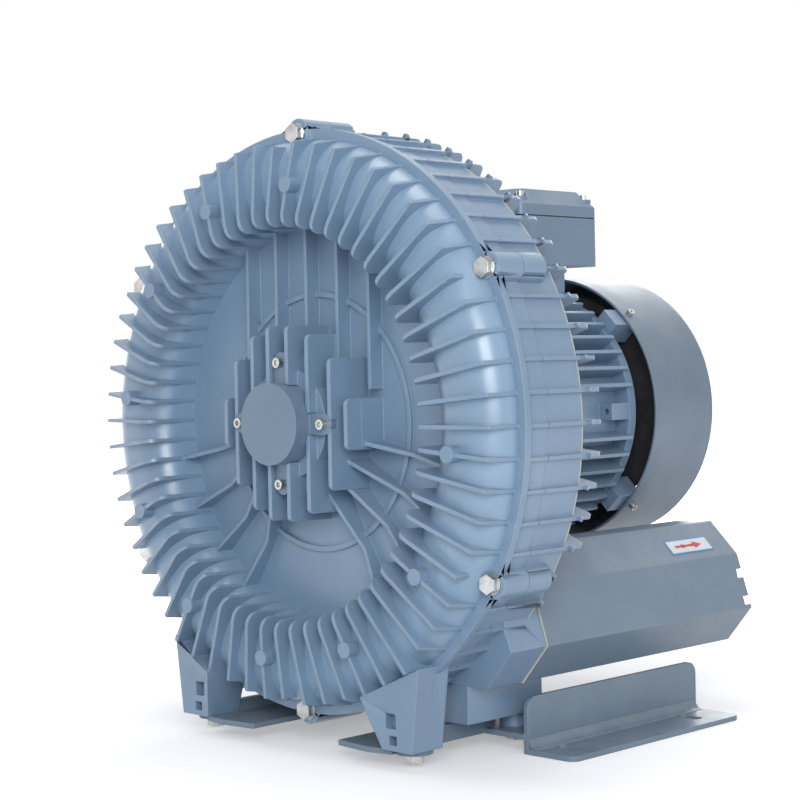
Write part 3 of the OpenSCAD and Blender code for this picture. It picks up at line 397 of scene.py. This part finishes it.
def flat_face(form, corners, rounding=0.0, which=None, segments=6):
    """A flat face through corners, rounded at all of them or at those that which counts out."""
    verts = [form.verts.new(corner) for corner in corners]
    form.faces.new(verts)
    if rounding:
        rounded = verts if which is None else [verts[i] for i in which]
        bmesh.ops.bevel(form, geom=rounded, affect="VERTICES", offset=rounding, segments=segments,
                        profile=0.5, material=-1)


def thicken(form, way):
    """Turn the flat faces of form into a solid that reaches by way from them."""
    made = bmesh.ops.extrude_face_region(form, geom=everything(form), use_keep_orig=True)
    moved = [v for v in made["geom"] if isinstance(v, bmesh.types.BMVert)]
    bmesh.ops.translate(form, vec=way, verts=moved)


def dome(along, radius, steps=6):
    """The end of a turned profile: a quarter circle that closes at along + radius."""
    turns = [QUARTER_TURN * i / steps for i in range(steps)]
    arc = [(along + radius * math.sin(turn), radius * math.cos(turn)) for turn in turns]
    return arc + [(along + radius, 0)]


# The castings as the source has them: radii, and distances forward of the joint.
RIM_R, RIB_R, FIN_IN_R, FIN_OUT_R = 227.0, 226.0, 150.0, 224.5
FIN_COUNT, FIN_T, FIN_ELBOW_F = 60, 3.0, 41.5
RIM_F, SHELL_F, PIN_F = 26.0, 36.0, 49.0
# How near a vertex lies to one of these places to belong to it.
NEAR_RIM, NEAR_FIN_END, NEAR_FACE, NEAR_STEP = 0.2, 0.3, 0.15, 1.0
# The width of the rounding at a fin's inner end that moves inward with it.
FIN_END_WIDTH = 8.0
# The same places in the photograph, and how far the fins' fronts rise and their ends move inward.
RIM_SEEN_R, RIB_SEEN_R = 223.0, 222.4
ELBOW_SEEN = (212.0, 52.0)
FIN_FOOT_R, FIN_RISE, FIN_INWARD = 216.5, 10.0, 2.0


def front_polar(point):
    """Radius and distance from the joint, in mm, of a point given in metres."""
    return math.hypot(point.x, point.z - SHAFT.z) / MM, (JOINT_Y - point.y) / MM


def on_fin(point):
    """Whether a point lies within the thickness of a cover fin."""
    pitch = FULL_TURN / FIN_COUNT
    angle = math.atan2(point.z - SHAFT.z, point.x)
    aside = angle - round(angle / pitch) * pitch
    return abs(math.sin(aside)) * front_polar(point)[0] < FIN_T / 2 + NEAR_FACE


def seen_place(point):
    """Where the photograph has a point of a casting: its radius and distance from the joint."""
    radius, f = front_polar(point)
    if abs(radius - RIM_R) < NEAR_RIM:
        return RIM_SEEN_R, f
    if abs(radius - RIB_R) < NEAR_RIM:
        return RIB_SEEN_R, f
    if abs(radius - FIN_OUT_R) < NEAR_FIN_END and f > FIN_ELBOW_F - NEAR_STEP:
        return ELBOW_SEEN
    if abs(radius - FIN_OUT_R) < NEAR_FIN_END and f > RIM_F - NEAR_STEP:
        return FIN_FOOT_R, f
    stands_out = f > SHELL_F + NEAR_STEP and radius > FIN_IN_R - NEAR_STEP
    if stands_out and (on_fin(point) or abs(f - PIN_F) < NEAR_FACE):
        inward = FIN_INWARD if radius < FIN_IN_R + FIN_END_WIDTH else 0.0
        return radius - inward, f + FIN_RISE
    return radius, f


def seen_copy(node_name, name):
    """A merged copy of a casting, with rim, ribs and fins brought to the photograph's outline."""
    form = bmesh.new()
    form.from_mesh(frame["nodes"][node_name].data)
    bmesh.ops.remove_doubles(form, verts=form.verts, dist=CAD_MERGE)
    for vert in form.verts:
        old_radius = front_polar(vert.co)[0]
        if old_radius < NEAR_STEP:
            continue
        radius, f = seen_place(vert.co)
        vert.co.x *= radius / old_radius
        vert.co.z = SHAFT.z + (vert.co.z - SHAFT.z) * radius / old_radius
        vert.co.y = JOINT_Y - f * MM
    made = new_piece(name, form, CASTING)
    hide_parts(node_name)


# The channel's bulge between the fins: inner and outer wall, back, crest and corner.
BULGE_IN_R, BULGE_OUT_R, BULGE_START, BULGE_F, BULGE_ROUND = 150.0, 215.6, 8.0, 48.0, 26.0
RING_STEPS = 180


def channel_bulge():
    """The smooth bulge of the channel that stands between the cover's fins."""
    form = bmesh.new()
    corners = [polar(radius, 0, f) for radius, f in (
        (BULGE_IN_R, BULGE_START), (BULGE_OUT_R, BULGE_START),
        (BULGE_OUT_R, BULGE_F), (BULGE_IN_R, BULGE_F))]
    flat_face(form, corners, rounding=BULGE_ROUND * MM, which=[2, 3], segments=12)
    bmesh.ops.delete(form, geom=form.faces[:], context="FACES_ONLY")
    bmesh.ops.spin(form, geom=form.verts[:] + form.edges[:], cent=SHAFT, axis=ANGLE_AXIS,
                   angle=FULL_TURN, steps=RING_STEPS, use_merge=True)
    # Its paint is the lighter copy of the casting paint: painted light on the ring.
    new_piece("channel_bulge", form, LIT_CHANNEL_PAINT)


RIB_COUNT, RIB_T = 60, 3.0
# The tails go round the drum from one silencer port over the top to the other.
FIRST_TAIL, LAST_TAIL = -24.0, 204.0
TAIL_IN_R, TAIL_START, TAIL_END, TAIL_CORNER = 204.0, -34.0, -60.0, 5.0


def rib_tails():
    """The ribs run on behind the drum as flat tails with a rounded outer corner."""
    form = bmesh.new()
    corners = [polar(radius, 0, f) for radius, f in (
        (TAIL_IN_R, TAIL_START), (TAIL_IN_R, TAIL_END), (RIB_SEEN_R, TAIL_END), (RIB_SEEN_R, TAIL_START))]
    flat_face(form, corners, rounding=TAIL_CORNER * MM, which=[2])
    thicken(form, Vector((0, 0, RIB_T * MM)))
    bmesh.ops.translate(form, vec=(0, 0, -RIB_T / 2 * MM), verts=form.verts)
    first_turn = Matrix.Rotation(math.radians(FIRST_TAIL), 3, ANGLE_AXIS)
    bmesh.ops.rotate(form, cent=SHAFT, matrix=first_turn, verts=form.verts)
    span = LAST_TAIL - FIRST_TAIL
    bmesh.ops.spin(form, geom=everything(form), cent=SHAFT, axis=ANGLE_AXIS, angle=math.radians(span),
                   steps=round(span * RIB_COUNT / 360), use_duplicate=True)
    new_piece("rib_tails", form, CASTING)


# Cast bosses along the motor, with rounded ends: angle, radius of the place, end behind the joint.
MOTOR_BOSSES = [(36, 101, 176), (0, 100, 170), (-36, 101, 178)]
BOSS_R, BOSS_START, BOSS_STEPS = 6.5, 60, 24


def motor_bosses():
    for number, (angle, place, end) in enumerate(MOTOR_BOSSES):
        form = bmesh.new()
        straight = end - BOSS_START - BOSS_R
        profile = [(0, 0), (0, BOSS_R)] + dome(straight, BOSS_R)
        turned(form, polar(place, angle, -BOSS_START), Vector((0, 1, 0)), profile, BOSS_STEPS)
        new_piece(f"motor_boss_{number + 1}", form, CASTING)


# The web's outer face and the floor flange's top, in the frame's own x, y and z.
FOOT_WEB_X, FOOT_TOP_Z = 145.9, 3.95
FOOT_START_Y, FOOT_END_Y = -99.5, 110.5
BEND_R, BEND_STEPS = 9.0, 8


def foot_bends():
    """The inside of the bend between web and floor flange, as an arc from end to end."""
    for side, name in ((1, "foot_right"), (-1, "foot_left")):
        form = bmesh.new()
        corner = form.verts.new(Vector((side * FOOT_WEB_X, FOOT_START_Y, FOOT_TOP_Z)) * MM)
        start = form.verts.new(corner.co + Vector((0, 0, BEND_R * MM)))
        centre = start.co + Vector((side * BEND_R * MM, 0, 0))
        arc = bmesh.ops.spin(form, geom=[start], cent=centre, axis=(0, -side, 0), angle=QUARTER_TURN,
                             steps=BEND_STEPS)
        end = next(piece for piece in arc["geom_last"] if isinstance(piece, bmesh.types.BMVert))
        form.edges.new((corner, start))
        form.edges.new((corner, end))
        bmesh.ops.contextual_create(form, geom=form.edges[:])
        thicken(form, Vector((0, (FOOT_END_Y - FOOT_START_Y) * MM, 0)))
        new_piece(name + "_bend", form, FOOT)


# The flow sign lies on the upper outer face of the discharge silencer.
SIGN_CENTRE = Vector((147.6, 103.0, 139.4)) * MM
SIGN_NORMAL = Vector((1, 0, 1)).normalized()
SIGN_ALONG = Vector((0, 1, 0))
SIGN_UP = Vector((-1, 0, 1)).normalized()
SIGN_LENGTH, SIGN_WIDTH, SIGN_BORDER = 57.0, 15.5, 1.6
# Each layer's lower and upper face above the silencer's sheet.
BORDER_LAYER, FIELD_LAYER, ARROW_LAYER = (0.02, 0.25), (0.2, 0.32), (0.3, 0.38)
BORDER_CORNER, FIELD_CORNER = 1.5, 0.8
ARROW = [(-20, -1.1), (-17.5, 0), (-20, 1.1), (-16, 1.3), (-13, 0.9), (-9, 2.0), (-4, 1.0), (6, 1.5),
         (6, 3.6), (17, 0), (6, -3.6), (6, -1.5), (-4, -1.0), (-9, -2.0), (-13, -0.9), (-16, -1.3)]


def sign_plate(name, outline, rounding, layer, finish):
    low, high = layer
    form = bmesh.new()
    corners = [SIGN_CENTRE + (SIGN_ALONG * u + SIGN_UP * v + SIGN_NORMAL * low) * MM for u, v in outline]
    flat_face(form, corners, rounding=rounding * MM)
    thicken(form, SIGN_NORMAL * (high - low) * MM)
    new_piece(name, form, finish, smooth=False)


def rectangle(length, width):
    return [(length / 2 * su, width / 2 * sv) for su, sv in ((1, 1), (-1, 1), (-1, -1), (1, -1))]


def flow_sign():
    outer = rectangle(SIGN_LENGTH, SIGN_WIDTH)
    inner = rectangle(SIGN_LENGTH - 2 * SIGN_BORDER, SIGN_WIDTH - 2 * SIGN_BORDER)
    sign_plate("flow_sign_border", outer, BORDER_CORNER, BORDER_LAYER, SIGN_BLUE)
    sign_plate("flow_sign_field", inner, FIELD_CORNER, FIELD_LAYER, SIGN_WHITE)
    sign_plate("flow_sign_arrow", ARROW, 0.0, ARROW_LAYER, SIGN_RED)


SEAM_R, SEAM_F, SEAM_SIZE, SEAM_SIDES = 218.6, -40.0, 0.8, 6


def seam_bead():
    """Pale sealant squeezed out where the drum meets the wall behind it."""
    form = bmesh.new()
    made = bmesh.ops.create_circle(form, segments=SEAM_SIDES, radius=SEAM_SIZE * MM,
                                   matrix=Matrix.Translation(polar(SEAM_R, 0, SEAM_F)))
    bmesh.ops.spin(form, geom=made["verts"] + form.edges[:], cent=SHAFT, axis=ANGLE_AXIS,
                   angle=FULL_TURN, steps=RING_STEPS, use_merge=True)
    new_piece("drum_seam", form, GASKET)


# Stage. The floor is pale round the object and glows to the background's white further out.

FLOOR_R, FLOOR_STEPS = 30.0, 64
FLOOR_COLOUR = (0.80, 0.80, 0.81, 1)
WHITE = (1, 1, 1, 1)
NEAR_FLOOR, FAR_FLOOR = 0.40, 0.95
NEAR_GLOW, FAR_GLOW = 0.34, 1.0
SKY_COLOUR, SKY_STRENGTH = (0.93, 0.96, 1.0, 1), 0.42


def seen_or_mirrored(tree):
    """1 where the camera, a reflection or glass sees the background, and 0 where it lights."""
    ways = node(tree, "ShaderNodeLightPath")
    through = math_node(tree, "MAXIMUM", ways.outputs["Is Glossy Ray"], ways.outputs["Is Transmission Ray"])
    return math_node(tree, "MAXIMUM", ways.outputs["Is Camera Ray"], through)


def plain_stage():
    pale, tree, shader = new_material("Pale floor")
    shader.inputs["Base Color"].default_value = FLOOR_COLOUR
    shader.inputs["Roughness"].default_value = 0.95
    shader.inputs["Specular IOR Level"].default_value = 0.1
    shader.inputs["Emission Color"].default_value = WHITE
    place = node(tree, "ShaderNodeTexCoord")
    away = node(tree, "ShaderNodeVectorMath", operation="LENGTH")
    link(tree, place.outputs["Object"], away.inputs[0])
    glow = ramp(tree, away.outputs["Value"], NEAR_FLOOR, FAR_FLOOR, NEAR_GLOW, FAR_GLOW)
    link(tree, math_node(tree, "MULTIPLY", seen_or_mirrored(tree), glow), shader.inputs["Emission Strength"])
    form = bmesh.new()
    bmesh.ops.create_circle(form, cap_ends=True, segments=FLOOR_STEPS, radius=FLOOR_R)
    mesh = bpy.data.meshes.new("floor")
    form.to_mesh(mesh)
    form.free()
    floor = bpy.data.objects.new("floor", mesh)
    bpy.context.scene.collection.objects.link(floor)
    mesh.materials.append(pale)


def white_world():
    world = bpy.data.worlds.new("Studio")
    bpy.context.scene.world = world
    world.use_nodes = True
    tree = world.node_tree
    tree.nodes.clear()
    light = node(tree, "ShaderNodeBackground")
    light.inputs["Color"].default_value = SKY_COLOUR
    light.inputs["Strength"].default_value = SKY_STRENGTH
    shown = node(tree, "ShaderNodeBackground")
    shown.inputs["Color"].default_value = WHITE
    shown.inputs["Strength"].default_value = 1.0
    choice = node(tree, "ShaderNodeMixShader")
    out = node(tree, "ShaderNodeOutputWorld")
    link(tree, seen_or_mirrored(tree), choice.inputs[0])
    link(tree, light.outputs[0], choice.inputs[1])
    link(tree, shown.outputs[0], choice.inputs[2])
    link(tree, choice.outputs[0], out.inputs[0])


LAMP_TARGET = Vector((0.0, -0.05, 0.25))
WARM, PLAIN, COOL = (1.0, 1.0, 0.99), (1, 1, 1), (0.97, 0.99, 1.0)
# Name, place, width and height in metres, power in watts, colour.
LAMPS = [
    ("Key", (1.60, -1.70, 0.90), (1.2, 1.0), 33, WARM),
    ("Side", (2.5, 0.05, 0.5), (0.2, 1.3), 2, COOL),
    ("Left", (-2.0, -1.2, 0.9), (1.0, 1.6), 1, COOL),
    ("Top", (0.0, -0.2, 2.3), (1.2, 1.2), 14, PLAIN),
    ("Back", (-0.9, 2.3, 1.1), (1.3, 1.2), 26, PLAIN),
    ("Back left", (-2.4, 0.3, 0.9), (1.2, 1.2), 9, PLAIN)]


def studio_lamps():
    for name, place, size, power, colour in LAMPS:
        data = bpy.data.lights.new(name, "AREA")
        data.shape = "RECTANGLE"
        data.size, data.size_y = size
        data.energy = power
        data.color = colour
        lamp = bpy.data.objects.new(name, data)
        lamp.location = place
        lamp.rotation_mode = "QUATERNION"
        lamp.rotation_quaternion = (LAMP_TARGET - Vector(place)).to_track_quat("-Z", "Y")
        bpy.context.scene.collection.objects.link(lamp)


# The photograph's camera, fitted to the bolt circle, the fins, the cowl and the feet.
AZIMUTH, ELEVATION, ROLL = 44.4, 1.42, -1.065
CAMERA_TARGET = Vector((109 * MM, -193 * MM, 267.8 * MM))
CAMERA_DISTANCE = 1377 * MM
LENS = 85.8


def photo_camera():
    azimuth, elevation, roll = (math.radians(angle) for angle in (AZIMUTH, ELEVATION, ROLL))
    back = Vector((math.sin(azimuth) * math.cos(elevation), -math.cos(azimuth) * math.cos(elevation),
                   math.sin(elevation)))
    right = Vector((math.cos(azimuth), math.sin(azimuth), 0))
    level = Matrix((right, back.cross(right), back)).transposed().to_4x4()
    data = bpy.data.cameras.new("Photo camera")
    data.lens = LENS
    camera = bpy.data.objects.new("Photo camera", data)
    place = Matrix.Translation(CAMERA_TARGET + back * CAMERA_DISTANCE)
    camera.matrix_world = place @ level @ Matrix.Rotation(roll, 4, "Z")
    bpy.context.scene.collection.objects.link(camera)
    bpy.context.scene.camera = camera


finish_nodes()
seen_copy("front_cover", "front_cover_shell")
seen_copy("rear_casing", "rear_casing_shell")
channel_bulge()
rib_tails()
motor_bosses()
foot_bends()
flow_sign()
seam_bead()
plain_stage()
white_world()
studio_lamps()
photo_camera()
bpy.context.scene.view_settings.view_transform = "Standard"
